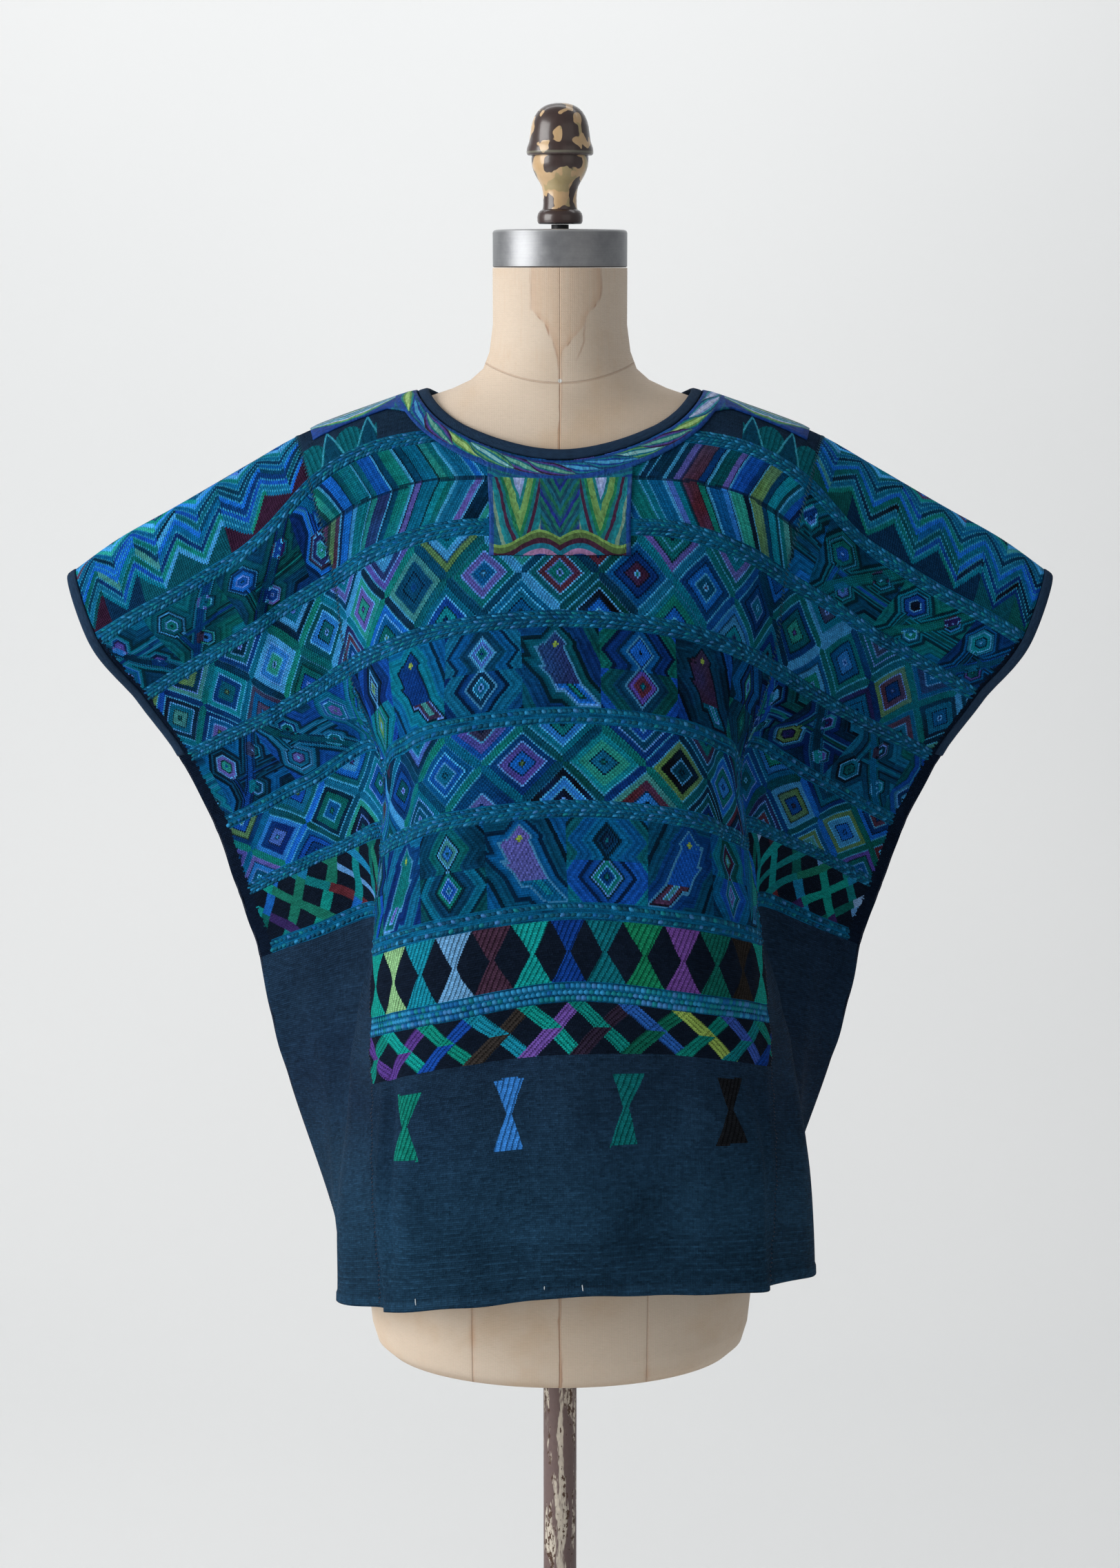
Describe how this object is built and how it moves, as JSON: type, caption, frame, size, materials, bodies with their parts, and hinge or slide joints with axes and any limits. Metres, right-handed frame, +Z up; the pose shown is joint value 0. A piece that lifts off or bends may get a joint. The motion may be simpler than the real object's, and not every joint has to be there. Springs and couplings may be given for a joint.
{
  "type": "huipil on a dress form",
  "caption": "Wide sleeveless huipil of three woven lengths with bound neck and arm openings, hanging open on a limbless dress form with a pole and a round base.",
  "frame": {"origin": "centre of the round base's underside, on the floor", "axes": "+Z up, the front of the garment faces -Y, +X to the right as seen from the front"},
  "size_m": [0.7164, 0.4, 1.6014],
  "materials": {
    "woven_cloth": "matt handwoven cotton and wool with brocaded patterns on a blue-black ground",
    "binding_cloth": "matt navy cotton strip, hemmed over the edge",
    "needlework": "coloured thread with a soft lustre on dark cloth",
    "form_linen": "matt beige linen with a faint stain",
    "cap_metal": "dull grey metal",
    "stem_metal": "dark and matt",
    "knob_paint": "painted in brown, olive and cream patches, satin",
    "pole_paint": "worn brown paint with pale streaks",
    "base_iron": "dark satin paint on cast iron"
  },
  "bodies": {
    "root": {"center_panel_front": "woven_cloth", "center_panel_back": "woven_cloth", "side_panel_left_front": "woven_cloth", "side_panel_left_back": "woven_cloth", "side_panel_right_front": "woven_cloth", "side_panel_right_back": "woven_cloth", "neck_binding": "binding_cloth", "armhole_binding_left": "binding_cloth", "armhole_binding_right": "binding_cloth", "neck_needlework": "needlework", "form_torso": "form_linen", "neck_cap": "cap_metal", "finial_stem": "stem_metal", "finial_knob": "knob_paint", "pole": "pole_paint", "base": "base_iron"}
  },
  "joints": []
}
